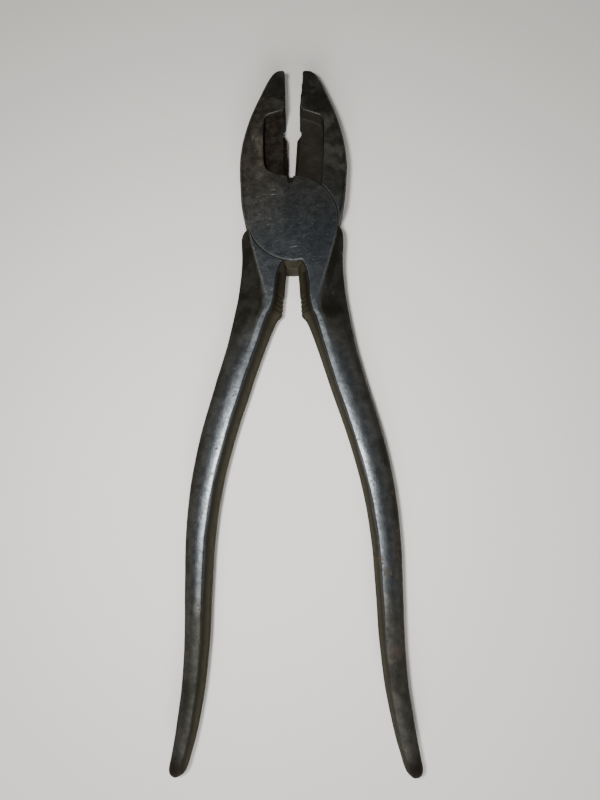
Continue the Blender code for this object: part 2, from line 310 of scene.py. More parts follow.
def signed_volume(mesh):
    """Six times the mesh's volume, negative when its faces point inwards."""
    mesh.calc_loop_triangles()
    corners = np.empty(len(mesh.loop_triangles) * 3, np.int32)
    mesh.loop_triangles.foreach_get("vertices", corners)
    a, b, c = vertex_positions(mesh)[corners.reshape(-1, 3)].transpose(1, 0, 2)
    return float(np.einsum("ij,ij->", a, np.cross(b, c)))


def vertex_positions(mesh):
    flat = np.empty(len(mesh.vertices) * 3, np.float32)
    mesh.vertices.foreach_get("co", flat)
    return flat.reshape(-1, 3).astype(float)


def prism(name, outline, low, high):
    """An (x, y) outline raised from z = low to z = high."""
    return loft(name, [[(x, y, z) for x, y in outline] for z in (low, high)])


def turned(name, profile):
    """A solid of revolution about the rivet's axis, from (radius, z) pairs."""
    angles = [2 * math.pi * i / TURNED_SEGMENTS for i in range(TURNED_SEGMENTS)]
    rings = [[(r * math.cos(a), r * math.sin(a), z) for a in angles] for r, z in profile]
    return loft(name, rings)


def apply_modifiers(item):
    graph = bpy.context.evaluated_depsgraph_get()
    mesh = bpy.data.meshes.new_from_object(item.evaluated_get(graph))
    item.modifiers.clear()
    item.data = mesh


def combine(target, tool, operation, solver="EXACT"):
    """Apply a Boolean to the target and use the tool up."""
    modifier = target.modifiers.new("cut", "BOOLEAN")
    modifier.operation = operation
    modifier.solver = solver
    modifier.object = tool
    apply_modifiers(target)
    bpy.data.objects.remove(tool, do_unlink=True)


def jaw_face_steps():
    """(y, depth behind the closing line) along the jaw's gripping face, from the tip down."""
    steps = [(JAW_TIP_Y, TIP_CHAMFER_DEPTH), (JAW_TIP_Y - TIP_CHAMFER_HEIGHT, 0.0)]
    for i in range(NOSE_TEETH, 0, -1):
        crest = NOSE_TEETH_START_Y + i * TOOTH_PITCH
        steps.append((crest, TOOTH_WEAR * (i % TOOTH_WEARS)))
        steps.append((crest - TOOTH_PITCH * TOOTH_FLANK, TOOTH_DEPTH))
    steps.append((NOSE_TEETH_START_Y, 0.0))
    for i in range(2 * GRIP_TEETH, 0, -1):
        y = GRIP_START_Y + i * TOOTH_PITCH / 2
        hollow = GRIP_DEPTH * (1 - GRIP_SLOPE * i / (2 * GRIP_TEETH))
        steps.append((y, hollow + GRIP_TOOTH_DEPTH * (i % 2)))
    steps.append((GRIP_FLOOR_Y, GRIP_DEPTH))
    steps.append((GRIP_HEEL_Y, 0.0))
    return steps


def filled_in(steps, spacing):
    """The same polyline of (y, value) steps with points at most spacing apart in y."""
    dense = []
    for start, end in zip(steps, steps[1:]):
        count = max(1, math.ceil(abs(start[0] - end[0]) / spacing))
        dense += line(start, end, count)
    return dense + [steps[-1]]


def face_x(y, closing_side):
    """x of a half's jaw face. The closing line passes beside the rivet's axis and leans a little."""
    return closing_side * (CLOSING_LINE_X + CLOSING_LINE_SLOPE * y) - JAW_FACE_GAP


def knife_wear(y):
    """How far the cutting edge is worn back, more towards the rivet."""
    return KNIFE_END_WEAR * min(1.0, (GRIP_START_Y - y) / (GRIP_START_Y - KNIFE_END_Y))


def jaw_ring(y, inner, outer):
    """One cross-section of the jaw. The nose thins towards its tip."""
    taper = max(0.0, (y - NOSE_TAPER_START_Y) / (JAW_TIP_Y - NOSE_TAPER_START_Y))
    half = MID - (MID - NOSE_TIP_HALF_THICKNESS) * taper
    radius = JAW_CORNER_RADIUS
    centre_x = -outer + radius
    upper = line((inner, half), (centre_x, half), JAW_FACE_STEPS)
    for i in range(CORNER_STEPS + 1):
        angle = math.pi / 2 * i / CORNER_STEPS
        upper.append((centre_x - radius * math.sin(angle), half - radius * (1 - math.cos(angle))))
    section = upper + [(x, -h) for x, h in reversed(upper)]
    return [(x, y, MID + h) for x, h in section]


def make_jaw(name, shape):
    heel = shape["heel"]
    outline = JAW_OUTLINE + heel
    knife = [(KNIFE_END_Y, KNIFE_END_WEAR), (heel[-1][0], KNIFE_END_WEAR)]
    rings = []
    for y, depth in filled_in(jaw_face_steps() + knife, STATION_STEP):
        inner = face_x(y, shape["closing_side"]) - depth
        rings.append(jaw_ring(y, inner, smooth_value(outline, 1, y)))
    return loft(name, rings)


def ridge_shift(y, shape):
    """How far this half's ridge and crest lie from where the stations put them."""
    t = (RIDGE_SHIFT_START_Y - y) / (RIDGE_SHIFT_START_Y - RIDGE_SHIFT_END_Y)
    return shape["ridge_shift"] * min(max(t, 0.0), 1.0)


def handle_ring(y, values, shift, notch):
    """One cross-section of the handle: flat inside, domed outside, alike above and below."""
    inner, face, face_h, crest, crest_h, outer, outer_h, roundness = values
    face_h = min(face_h, MID)
    crest_h = min(crest_h, MID)
    crease = SHOULDER_CREASE * min(1.0, (y - CREASE_END_Y) / (HORN_TOP[0] - CREASE_END_Y))
    crease = max(0.0, crease)
    land = (inner + notch, INNER_LAND_HALF_HEIGHT)
    upper = line((inner + notch, 0.0), land, LAND_STEPS)[1:]
    upper += line(land, (face, face_h), WALL_STEPS)
    for i in range(SHOULDER_STEPS):
        t = i / SHOULDER_STEPS
        upper.append((face + (crest - face) * t, face_h + (crest_h - face_h) * (2 * t - t * t)))
    for i in range(BACK_STEPS + 1):
        t = math.sin(math.pi / 2 * i / BACK_STEPS)
        dome = (1 - t**roundness) ** (1 / roundness)
        dome += (1 - t - dome) * crease
        upper.append((crest + (outer - crest) * t, outer_h + (crest_h - outer_h) * dome))
    section = upper + [(x, -h) for x, h in reversed(upper)]
    return [(x + shift, y, MID + h) for x, h in section]


def crimp_notch(y):
    """Depth of the small crimping teeth behind the joint."""
    place = (CRIMP_START_Y - y) / TOOTH_PITCH
    if not 0 < place < CRIMP_TEETH:
        return 0.0
    return CRIMP_TOOTH_DEPTH * (1 - abs(2 * (place % 1) - 1))


def handle_steps():
    """y of every cross-section of the handle, closer together across the crimping teeth."""
    first = HANDLE_STATIONS[0][0]
    last = HANDLE_STATIONS[-1][0]
    teeth_end = CRIMP_START_Y - CRIMP_TEETH * TOOTH_PITCH
    steps = line((first,), (CRIMP_START_Y,), math.ceil((first - CRIMP_START_Y) / STATION_STEP))
    steps += line((CRIMP_START_Y,), (teeth_end,), math.ceil((CRIMP_START_Y - teeth_end) / TOOTH_STEP))
    steps += line((teeth_end,), (last,), math.ceil((teeth_end - last) / STATION_STEP))
    return [y for y, in steps] + [last]


def make_handle(name, shape):
    first = HANDLE_STATIONS[0]
    bend = math.tan(math.radians(shape["handle_bend_deg"]))
    horn_y, horn_crest, horn_height = HORN_TOP
    rings = []
    for y, outer in filled_in(shape["horn"] + [(first[0], first[6])], STATION_STEP)[:-1]:
        t = (y - horn_y) / (first[0] - horn_y)
        crest = horn_crest + (first[4] - horn_crest) * t
        side = horn_height + (first[7] - horn_height) * t
        values = first[1:4] + (crest, MID, outer, side, first[8])
        rings.append(handle_ring(y, values, 0.0, 0.0))
    for y in handle_steps():
        values = [smooth_value(HANDLE_STATIONS, column, y) for column in range(1, 9)]
        values[1] += ridge_shift(y, shape)
        values[3] += ridge_shift(y, shape)
        shift = max(0.0, HANDLE_BEND_Y - y) * bend
        rings.append(handle_ring(y, values, shift, crimp_notch(y)))
    rings += rounded_end(rings[-1])
    return loft(name, rings)


def rounded_end(ring):
    """Rings that shrink about the ring's middle, down to the blunt end of the handle."""
    start_y = ring[0][1]
    reach = start_y - HANDLE_END_Y
    middle = (min(point[0] for point in ring) + max(point[0] for point in ring)) / 2
    rings = []
    for i in range(1, END_STEPS + 1):
        t = math.sin(math.pi / 2 * i / END_STEPS)
        keep = max(END_BLUNTNESS, (1 - t**END_SQUARENESS) ** (1 / END_SQUARENESS))
        y = start_y - reach * t
        new_middle = middle + END_DRIFT * reach * t
        rings.append([(new_middle + (x - middle) * keep, y, MID + (z - MID) * keep) for x, _, z in ring])
    return rings


def hole_profile(gap):
    """(radius, z) of the rivet, or of its hole when there is a gap, from back to front."""
    cone = [(RIVET_HEAD_RADIUS + gap, 0.0), (RIVET_SHANK_RADIUS + gap, RIVET_HEAD_DEPTH)]
    return cone + [(r, JOINT_THICKNESS - z) for r, z in reversed(cone)]


def hole_cutter(name):
    """The rivet's hole, run on past both faces."""
    profile = hole_profile(RIVET_GAP)
    first = profile[0][0]
    return turned(name, [(first, -OVERRUN)] + profile + [(first, JOINT_THICKNESS + OVERRUN)])


def add_pockets(half, name, closing_side):
    """Thin the jaw beside its cutting edge, from both faces, nick the disc and bevel the edge."""
    floor = WEB_HALF_THICKNESS
    rim = POCKET_TOP + POCKET_SIDE
    closed = softened(rim + POCKET_CLOSED_END) + POCKET_LAST
    opened = softened(rim) + POCKET_OPEN_END
    above = 2 * JOINT_THICKNESS
    combine(half, prism(name + "_upper_pocket", closed, MID + floor, above), "DIFFERENCE")
    combine(half, prism(name + "_lower_pocket", opened, -JOINT_THICKNESS, MID - floor), "DIFFERENCE")
    nick_floor = JOINT_THICKNESS - STOP_NICK_DEPTH
    combine(half, prism(name + "_nick", STOP_NICK, nick_floor, above), "DIFFERENCE")
    for side, low_y in ((1, CLOSED_BEVEL_END_Y), (-1, POCKET_OPEN_Y)):
        combine(half, knife_bevel(name + "_bevel", closing_side, side, low_y), "DIFFERENCE")


def knife_bevel(name, closing_side, side, low_y):
    """The wedge ground off the web on one side (1 is the upper) to leave the cutting edge."""
    rise = (WEB_HALF_THICKNESS - KNIFE_EDGE_HALF_LAND) / KNIFE_BEVEL_WIDTH
    rings = []
    for y in (low_y, GRIP_FLOOR_Y):
        edge_x = face_x(y, closing_side) - knife_wear(y)
        heel_x = edge_x - KNIFE_BEVEL_WIDTH - KNIFE_BEVEL_OVERLAP
        past_x = edge_x + OVERRUN
        wedge = [
            (heel_x, WEB_HALF_THICKNESS + KNIFE_BEVEL_OVERLAP * rise),
            (past_x, KNIFE_EDGE_HALF_LAND - OVERRUN * rise),
            (past_x, MID + OVERRUN),
            (heel_x, MID + OVERRUN),
        ]
        rings.append([(x, y, MID + side * h) for x, h in wedge])
    return loft(name, rings)


def make_half(name, shape):
    """One forging: full-thickness jaw and handle, and the upper half of the lap joint."""
    half = make_jaw(name, shape)
    lap = MID + LAP_GAP / 2
    combine(half, make_handle(name + "_handle", shape), "UNION")
    combine(half, turned(name + "_socket", [(SOCKET_RADIUS, -MID), (SOCKET_RADIUS, lap)]), "DIFFERENCE")
    combine(half, turned(name + "_disc", [(DISC_RADIUS, lap), (DISC_RADIUS, JOINT_THICKNESS)]), "UNION")
    add_pockets(half, name, shape["closing_side"])
    return half


def make_rivet(name):
    """The rivet, with enough rings on its heads for their surface to be uneven."""
    profile = hole_profile(0.0)
    radii = [profile[0][0] * (i + HEAD_CENTRE) / HEAD_RINGS for i in range(HEAD_RINGS)]
    back = [(r, 0.0) for r in radii]
    front = [(r, JOINT_THICKNESS) for r in reversed(radii)]
    return turned(name, back + profile + front)


def cloud(name, size):
    """A soft procedural noise, size millimetres across its lumps."""
    texture = bpy.data.textures.new(name, "CLOUDS")
    texture.noise_scale = size
    texture.noise_depth = 2
    return texture


def add_dents(item):
    """Make the surface slightly uneven, alike where two pieces meet flush."""
    for size, height in DENTS:
        uneven = item.modifiers.new("uneven", "DISPLACE")
        uneven.texture = cloud("uneven", size)
        uneven.texture_coords = "LOCAL"
        uneven.strength = height
        uneven.mid_level = 0.5


def wear_shape(item):
    """Remesh the piece finely, soften its edges and make its surface slightly uneven."""
    remesh = item.modifiers.new("fine", "REMESH")
    remesh.mode = "VOXEL"
    remesh.voxel_size = VOXEL
    soften = item.modifiers.new("worn_edges", "SMOOTH")
    soften.factor = 0.5
    soften.iterations = EDGE_SOFTENING
    add_dents(item)
    apply_modifiers(item)


def edge_pairs(mesh):
    flat = np.empty(len(mesh.edges) * 2, np.int32)
    mesh.edges.foreach_get("vertices", flat)
    return flat.reshape(-1, 2)


def neighbour_mean(values, pairs, times):
    """Each point's values averaged with its neighbours', the given number of times."""
    total = len(values)
    a = np.concatenate([pairs[:, 0], pairs[:, 1]])
    b = np.concatenate([pairs[:, 1], pairs[:, 0]])
    share = np.bincount(a, minlength=total) + 1.0
    for _ in range(times):
        sums = [np.bincount(a, weights=column[b], minlength=total) for column in values.T]
        values = (values + np.stack(sums, 1)) / share[:, None]
    return values


def vertex_normals(mesh):
    flat = np.empty(len(mesh.vertices) * 3, np.float32)
    mesh.vertex_normals.foreach_get("vector", flat)
    return flat.reshape(-1, 3).astype(float)


def bulge(mesh, times):
    """How far each point stands proud of its softened surroundings, in millimetres."""
    points = vertex_positions(mesh)
    away = points - neighbour_mean(points, edge_pairs(mesh), times)
    return np.einsum("ij,ij->i", away, vertex_normals(mesh))


def store(mesh, name, values):
    """A value for each point of the mesh, for the material to read."""
    layer = mesh.attributes.new(name, "FLOAT", "POINT")
    layer.data.foreach_set("value", np.ascontiguousarray(values, np.float32))


def ramp(values, low, high):
    """0 below low, 1 above high and smooth between them."""
    t = np.clip((values - low) / (high - low), 0.0, 1.0)
    return t * t * (3 - 2 * t)


def mark_edges(mesh):
    """Store how far each point stands proud, in voxels, before the mesh is thinned out."""
    store(mesh, "proud", bulge(mesh, PROUD_PASSES) / VOXEL)


def stored(mesh, name):
    values = np.empty(len(mesh.vertices), np.float32)
    mesh.attributes[name].data.foreach_get("value", values)
    return values.astype(float)


def thin_out(item):
    """Bring the piece under MOST_TRIANGLES, keeping them where the shape needs them."""
    item.data.calc_loop_triangles()
    triangles = len(item.data.loop_triangles)
    if triangles <= MOST_TRIANGLES:
        return
    thin = item.modifiers.new("thin", "DECIMATE")
    thin.ratio = MOST_TRIANGLES / triangles
    apply_modifiers(item)


def near_lines(x, y, lines):
    """1 on any of the lines ((x, y), (x, y), reach), falling to 0 at its reach and beyond."""
    nearest = np.zeros(len(x))
    for (ax, ay), (bx, by), reach in lines:
        dx = bx - ax
        dy = by - ay
        t = np.clip(((x - ax) * dx + (y - ay) * dy) / (dx * dx + dy * dy), 0.0, 1.0)
        away = np.hypot(x - ax - t * dx, y - ay - t * dy)
        nearest = np.maximum(nearest, 1.0 - ramp(away, reach * 0.4, reach))
    return nearest


# Areas of a half, as x from and to, then y from and to
POCKET_AREA = (-7.2, 1.0, 7.5, 31.5)
NICK_SHADE_AREA = (-1.6, 1.6, 9.3, 11.7)
HEEL_WEB_AREA = (-4.0, 4.0, -14.0, -9.0)
HANDLE_START_Y = -9.0
BACK_START = (5.0, -1.0)

# Heights from mid-thickness that bound a mark, and how far a mark on the disc's rim reaches
RIM_HEIGHT = 4.5
RIM_REACH = 0.5
NICK_SHADE_HEIGHT = (4.0, 5.6)
HEEL_WEB_HEIGHT = 4.8

# How strong the marks are, from 0 to 1. The first is painted shade on the steep sides of the head, the
# second a darker line along the disc's rim.
STEEP_SHADE = 0.9
RIM_DARKENING = 0.8
HEEL_WEB_DARKEST = 0.5
HEEL_WEB_LIGHTER = 0.4
# Rubbed steel with a painted sheen on the ridge behind the crimping teeth
TEETH_RUB_AND_SHEEN = 0.5
LOW_FILM = 0.5
LOW_WARMTH = 0.9
PLAIN_WEAR = 0.05
# Painted glints with the wear on the listed edges and the shoulder crests
BRIGHT_WEAR_AND_GLINT = 0.20
CREST_WEAR_AND_GLINT = 0.30

# Ranges over which a mark grows from nothing to full, or fades. BELOW is a distance below the rivet.
WARM_Y = (-6.0, 18.0)
PALE_Y = (-8.0, 2.0)
PALE_LEFT = (1.0, 7.5)
POCKET_DEPTH = (0.25, 0.8)
FLATNESS = (0.3, 0.8)
PROUD_VOXELS = (0.10, 0.55)
WALL_INSIDE_RIDGE = (0.0, 0.35)
WALL_FACING = (0.25, 0.6)
WALL_LIGHT_DOWN = (0.25, 0.75)
# Painted shadow line along the foot of the inner wall
WALL_FOOT_SHADOW = (0.88, 0.99)
HEEL_WEB_LIGHT = (0.6, 1.6)
# The rubbed band with its painted sheen starts at the ridge and fades past it
RUB_AND_SHEEN_STARTS = (-0.2, 0.0)
RUB_AND_SHEEN_FADES_FROM = 0.4
GRIP_BELOW = (25.0, 62.0)
TEETH_RUB_AND_SHEEN_BELOW = (13.0, 20.0)
TEETH_RUB_AND_SHEEN_Y = (-36.0, -25.0)
SHOULDER_ACROSS = (-0.05, 0.15)
BACK_ACROSS = (0.1, 1.0)
BACK_BLEND_BELOW = (24.0, 38.0)
LOW_FILM_BELOW = (90.0, 106.0)
FRECKLE_BELOW = (55.0, 75.0)
# Painted shade on the ends of the handles grows over this distance below the rivet
END_SHADE_BELOW = (126.0, 131.0)
LOW_WARM_BELOW = (86.0, 102.0)
SHADE_X = (0.5, 5.0)
SHADE_BELOW = (0.0, 8.0)
SHADE_Y = (-30.0, -20.0)
EDGE_HEIGHT = (4.3, 5.2)
CREST_AWAY = (0.06, 0.28)
CREST_HEIGHT = (5.0, 5.5)
CREST_BELOW = (2.5, 6.0)
CREST_Y = (-24.0, -15.0)
RIDGE_AWAY = (0.3, 0.8)
RIDGE_BELOW = (18.0, 24.0)


def mark_tone(mesh, pale, brown):
    """Store where the steel is warmer and paler, alike on the joint and on the rivet in it."""
    x, y, _ = vertex_positions(mesh).T
    store(mesh, "warm", np.maximum(ramp(y, *WARM_Y), brown))
    store(mesh, "pale", pale * ramp(y, *PALE_Y) * ramp(-x, *PALE_LEFT))


def within(x, y, area):
    low_x, high_x, low_y, high_y = area
    return (x > low_x) & (x < high_x) & (y > low_y) & (y < high_y)


def handle_lines(y, shape):
    """x of the handle's inner parting line, ridge, crest and outer parting line, without its bend."""
    stations = np.array(HANDLE_STATIONS[::-1])
    shifts = [ridge_shift(station_y, shape) for station_y in stations[:, 0]]
    horn_y, horn_crest, _ = HORN_TOP
    crest_y = np.append(stations[:, 0], horn_y)
    inner = np.interp(y, stations[:, 0], stations[:, 1])
    ridge = np.interp(y, stations[:, 0], stations[:, 2] + shifts)
    crest = np.interp(y, crest_y, np.append(stations[:, 4] + shifts, horn_crest))
    outer = np.interp(y, crest_y, np.append(stations[:, 6], stations[-1, 6]))
    return inner, ridge, crest, outer


def mark_half(mesh, shape):
    """Store where edges are bright with wear and painted glints, where hands rub the steel with a
    painted sheen, where it stays grimy and where shade is painted.
    """
    x, y, z = vertex_positions(mesh).T
    normal = vertex_normals(mesh).T
    bend = math.tan(math.radians(shape["handle_bend_deg"]))
    x_straight = x - np.maximum(0.0, HANDLE_BEND_Y - y) * bend
    inner, ridge, crest, outer = handle_lines(y, shape)
    below = -y
    height = np.abs(z - MID)
    from_axis = np.hypot(x, y)
    on_handle = (x > 0) & (y < HANDLE_START_Y)
    above_handle = y > HANDLE_START_Y
    past_ridge = x_straight - ridge
    steep = 1.0 - ramp(np.abs(normal[2]), *FLATNESS)
    proud = ramp(stored(mesh, "proud"), *PROUD_VOXELS)

    # Grime and painted shade in the pockets beside the cutting edge, painted shade in the nick under the
    # knife gap and on the steep sides of the head, and a darker line on the disc's rim
    pocket = within(x, y, POCKET_AREA) * ramp(MID - height, *POCKET_DEPTH)
    rim = (np.abs(from_axis - DISC_RADIUS) < RIM_REACH) & (height > RIM_HEIGHT)
    nick = within(x, y, NICK_SHADE_AREA) & (height > NICK_SHADE_HEIGHT[0]) & (height < NICK_SHADE_HEIGHT[1])
    steep_shade = above_handle * steep * STEEP_SHADE
    grime_and_shade = np.maximum.reduce([pocket, nick, steep_shade, rim * proud * RIM_DARKENING])
    store(mesh, "stain_and_shade", grime_and_shade * shape["grime_and_shade"])

    inner_wall = on_handle * ramp(-past_ridge, *WALL_INSIDE_RIDGE) * ramp(-normal[0], *WALL_FACING)
    web = within(x, y, HEEL_WEB_AREA) & (height < HEEL_WEB_HEIGHT)
    store(mesh, "wall", np.maximum(inner_wall, web))
    # The inner wall is brown, dark along the ridge, and dark at its foot as a painted shadow line; the
    # web under the disc is darker towards its middle
    down = (ridge - x_straight) / (ridge - inner)
    lighter = ramp(down, *WALL_LIGHT_DOWN) * (1.0 - ramp(down, *WALL_FOOT_SHADOW)) * shape["wall"]
    web_light = HEEL_WEB_DARKEST + HEEL_WEB_LIGHTER * ramp(np.abs(x), *HEEL_WEB_LIGHT)
    store(mesh, "wall_light", np.where(web, web_light, lighter))

    # Hands rub the ridge bright; this band also carries a painted sheen, faded along y where the light
    # catches the handles
    rub_falls = 1.0 - ramp(past_ridge, RUB_AND_SHEEN_FADES_FROM, shape["rub_and_sheen_reach"])
    band = ramp(past_ridge, *RUB_AND_SHEEN_STARTS) * rub_falls * on_handle
    grip = shape["rub_and_sheen"] * ramp(below, *GRIP_BELOW) * ramp(y, *shape["rub_and_sheen_fade_y"])
    behind_teeth = TEETH_RUB_AND_SHEEN * ramp(below, *TEETH_RUB_AND_SHEEN_BELOW) * ramp(y, *TEETH_RUB_AND_SHEEN_Y)
    store(mesh, "rub_and_sheen", band * np.maximum(grip, behind_teeth))

    # A dark film on the backs of the handles and the bevels of the shoulders, which is also painted
    # shade
    across = (x_straight - crest) / (outer - crest)
    at_shoulder = ramp(across, *SHOULDER_ACROSS)
    further = ramp(across, *BACK_ACROSS)
    blend = ramp(below, *BACK_BLEND_BELOW)
    on_back = (x > BACK_START[0]) & (y < BACK_START[1]) & (from_axis > DISC_RADIUS)
    back = (on_handle | on_back) * (at_shoulder * (1.0 - blend) + further * blend)
    film = np.maximum(back, LOW_FILM * ramp(below, *LOW_FILM_BELOW))
    store(mesh, "outer", film)
    store(mesh, "freckle", back * ramp(below, *FRECKLE_BELOW))
    # Painted shade on the ends of the handles
    store(mesh, "end", ramp(below, *END_SHADE_BELOW))
    brown = np.maximum(film, LOW_WARMTH * ramp(below, *LOW_WARM_BELOW))
    mark_tone(mesh, shape["pale"], brown)

    shoulder = ramp(x, *SHADE_X) * ramp(below, *SHADE_BELOW) * ramp(y, *SHADE_Y)
    store(mesh, "shade", shape["shade"] * shoulder)

    # Worn edges, with painted glints along the listed edges, the shoulder crests and the rubbed ridges
    bright = near_lines(x, y, BRIGHT_EDGES) * ramp(height, *EDGE_HEIGHT)
    crest_line = 1.0 - ramp(np.abs(x_straight - crest), *CREST_AWAY)
    crest_line = crest_line * (x > 0) * ramp(height, *CREST_HEIGHT)
    crest_line *= ramp(below, *CREST_BELOW) * ramp(y, *CREST_Y)
    on_ridge = on_handle * (1.0 - ramp(np.abs(past_ridge), *RIDGE_AWAY)) * ramp(below, *RIDGE_BELOW)
    bright = np.maximum(bright, on_ridge * grip)
    gain = PLAIN_WEAR * (1.0 - steep * above_handle) + BRIGHT_WEAR_AND_GLINT * bright
    store(mesh, "wear_and_glint", np.maximum(proud * gain, CREST_WEAR_AND_GLINT * crest_line))


def finish_piece(item, node, material, body):
    """Shade the piece, give it its material and let it stand for its CAD node."""
    item.data.shade_smooth()
    item.data.set_sharp_from_angle(angle=math.radians(SHARP_EDGE_DEG))
    item.data.materials.clear()
    item.data.materials.append(material)
    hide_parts(node)
    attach(item, body)


def place_front(item):
    """Swing a piece of the front half open, and turn it into metres."""
    turn = Matrix.Rotation(math.radians(REST_OPENING_DEG / 2), 4, "Z")
    item.data.transform(Matrix.Scale(MM, 4) @ turn)


def place_back(item):
    """Turn the back half over and swing it open, and turn it into metres."""
    turn = Matrix.Rotation(math.radians(-REST_OPENING_DEG / 2), 4, "Z")
    over = Matrix.Translation((0, 0, JOINT_THICKNESS)) @ turn @ Matrix.Rotation(math.pi, 4, "Y")
    item.data.transform(Matrix.Scale(MM, 4) @ over)


def forged_piece(name, node, shape, place, material, body):
    item = make_half(name, shape)
    wear_shape(item)
    mark_edges(item.data)
    thin_out(item)
    combine(item, hole_cutter("rivet_hole"), "DIFFERENCE", "MANIFOLD")
    mark_half(item.data, shape)
    place(item)
    finish_piece(item, node, material, body)


def rivet_piece(name, node, material, body):
    item = make_rivet(name)
    add_dents(item)
    apply_modifiers(item)
    mark_tone(item.data, FRONT_HALF["pale"], 0.0)
    place_front(item)
    finish_piece(item, node, material, body)


# ---- materials ----


class Graph:
    """Short calls for building one material's nodes."""

    def __init__(self, name):
        self.material = bpy.data.materials.new(name)
        self.material.use_nodes = True
        self.tree = self.material.node_tree
        self.shader = self.tree.nodes["Principled BSDF"]

    def add(self, kind, **settings):
        node = self.tree.nodes.new(kind)
        for key, value in settings.items():
            setattr(node, key, value)
        return node

    def feed(self, socket, value):
        if isinstance(value, bpy.types.NodeSocket):
            self.tree.links.new(value, socket)
        else:
            socket.default_value = value

    def math(self, operation, a, b=0.0, clamp=False):
        node = self.add("ShaderNodeMath", operation=operation, use_clamp=clamp)
        self.feed(node.inputs[0], a)
        self.feed(node.inputs[1], b)
        return node.outputs[0]

    def mix(self, factor, a, b, blend="MIX"):
        """Colour a where factor is 0 and colour b where it is 1."""
        node = self.add("ShaderNodeMix", data_type="RGBA", blend_type=blend)
        self.feed(node.inputs[0], factor)
        self.feed(node.inputs[6], a)
        self.feed(node.inputs[7], b)
        return node.outputs[2]

    def between(self, value, low, high, out_low=0.0, out_high=1.0):
        """value, smoothly mapped from low..high to out_low..out_high."""
        node = self.add("ShaderNodeMapRange", interpolation_type="SMOOTHSTEP")
        for socket, amount in zip(node.inputs, (value, low, high, out_low, out_high)):
            self.feed(socket, amount)
        return node.outputs[0]

    def attribute(self, name):
        return self.add("ShaderNodeAttribute", attribute_name=name).outputs["Fac"]

    def millimetres(self):
        """Object coordinates in millimetres."""
        coordinates = self.add("ShaderNodeTexCoord")
        scaled = self.add("ShaderNodeVectorMath", operation="SCALE")
        self.feed(scaled.inputs[0], coordinates.outputs["Object"])
        scaled.inputs["Scale"].default_value = 1 / MM
        return scaled.outputs[0]

    def moved(self, vector, shift):
        node = self.add("ShaderNodeMapping")
        self.feed(node.inputs["Vector"], vector)
        node.inputs["Location"].default_value = shift
        return node.outputs[0]

    def drawn_out(self, vector, turn_deg, length, width, shift):
        """The vector turned about Z, then squeezed so that a noise's lumps are length by width."""
        node = self.add("ShaderNodeMapping", vector_type="TEXTURE")
        self.feed(node.inputs["Vector"], vector)
        node.inputs["Location"].default_value = shift
        node.inputs["Rotation"].default_value = (0.0, 0.0, math.radians(turn_deg))
        node.inputs["Scale"].default_value = (length, width, length)
        return node.outputs[0]

    def noise(self, vector, per_mm, detail=2.0, roughness=0.5, distortion=0.0):
        node = self.add("ShaderNodeTexNoise")
        self.feed(node.inputs["Vector"], vector)
        node.inputs["Scale"].default_value = per_mm
        node.inputs["Detail"].default_value = detail
        node.inputs["Roughness"].default_value = roughness
        node.inputs["Distortion"].default_value = distortion
        return node.outputs["Fac"]

    def distance(self, vector, point):
        node = self.add("ShaderNodeVectorMath", operation="DISTANCE")
        self.feed(node.inputs[0], vector)
        node.inputs[1].default_value = point
        return node.outputs["Value"]


DARK_STEEL = (0.068, 0.076, 0.083, 1.0)
GREY_STEEL = (0.104, 0.114, 0.122, 1.0)
PALE_STEEL = (0.175, 0.172, 0.165, 1.0)
WARM_TINT = (1.14, 1.0, 0.80, 1.0)
WALL_BROWN = (0.046, 0.041, 0.025, 1.0)
# Dark of the inner walls, also their painted shadow line at the foot
WALL_DARK = (0.016, 0.014, 0.009, 1.0)
# Rubbed steel, also a painted sheen along the handle ridges
RUBBED_STEEL_AND_SHEEN = (0.205, 0.222, 0.235, 1.0)
# Bright steel of worn edges, scratches and nicks, also the painted glints on edges and crests
BRIGHT_STEEL = (0.40, 0.40, 0.38, 1.0)
BROWN_FILM = (0.0098, 0.0082, 0.0056, 1.0)
# Grime, also the colour of the painted shade in the pockets, in the nick, on the head's steep sides and
# on the handle ends
GRIME_AND_SHADE = (0.011, 0.008, 0.0055, 1.0)
# Dark film on the backs of the handles, also painted shade
OLIVE_FILM_AND_SHADE = (0.0050, 0.0048, 0.0033, 1.0)
RUST = (0.060, 0.042, 0.029, 1.0)
FRECKLE = (0.060, 0.042, 0.027, 1.0)
PIT = (0.012, 0.011, 0.010, 1.0)

# Rust on the right handle: centre in millimetres and radius of each spot
RUST_SPOTS = [
    ((21.0, -84.2, 9.6), 2.0),
    ((22.5, -86.8, 9.6), 1.7),
    ((24.6, -104.2, 9.0), 1.9),
]

# Bright nicks: centre in millimetres, direction, half length and half width
NICKS = [
    ((-10.6, 21.6, 11.5), 84.0, 1.1, 0.22),
    ((-5.2, 7.3, 11.5), 4.0, 0.9, 0.12),
    ((-5.0, 6.1, 11.5), 2.0, 1.0, 0.12),
    ((0.4, -7.9, 11.5), 12.0, 1.3, 0.12),
]


# Lumps of each noise per millimetre
PATCHES_PER_MM = 0.17
MOTTLE_PER_MM = 0.55
SPECKLE_PER_MM = 0.75
PITS_PER_MM = 1.5
RAGGED_PER_MM = 1.6
GRAIN_PER_MM = 3.2

# Scratches: direction, where their noise starts, and how many more than usual there are
SCRATCHES = [
    (24.0, (0.0, 0.0, 0.0), 0.0),
    (-38.0, (9.0, 4.0, 2.0), 0.01),
    (81.0, (3.0, 8.0, 5.0), 0.0),
]
SCRATCH_LENGTH = 4.5
SCRATCH_WIDTH = 0.14

STEEL_ROUGHNESS = (0.35, 0.45)
DULL_ROUGHNESS = 0.30
PIT_ROUGHNESS = 0.15
STEEL_METALLIC = 0.96
DULL_METALLIC = 0.06
RELIEF_DEPTH_MM = 0.06


